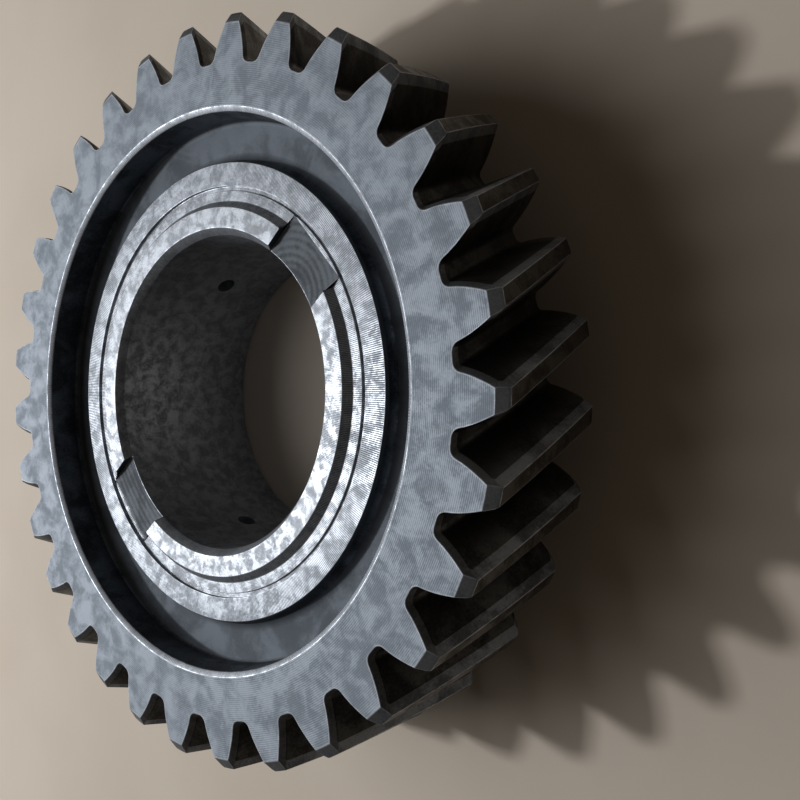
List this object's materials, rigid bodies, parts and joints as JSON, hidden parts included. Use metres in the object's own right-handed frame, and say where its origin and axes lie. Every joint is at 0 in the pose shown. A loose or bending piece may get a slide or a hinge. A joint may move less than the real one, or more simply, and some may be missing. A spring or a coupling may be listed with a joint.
{
  "type": "helical gear",
  "caption": "Steel left-hand helical gear with a recessed front face, slotted thrust ring, plain bore with radial oil holes and a rear hub.",
  "frame": {"origin": "centre of the rear hub's end face, on the bore axis", "axes": "+Z along the bore axis towards the front face; seen from the front, +X lies 42.5 degrees clockwise of the middle of one oil slot"},
  "size_m": [0.1642, 0.1642, 0.046],
  "materials": {
    "machined_steel": "turned and ground steel with a thin film of dark oil"
  },
  "bodies": {
    "root": {"helical_gear": "machined_steel"}
  },
  "joints": []
}
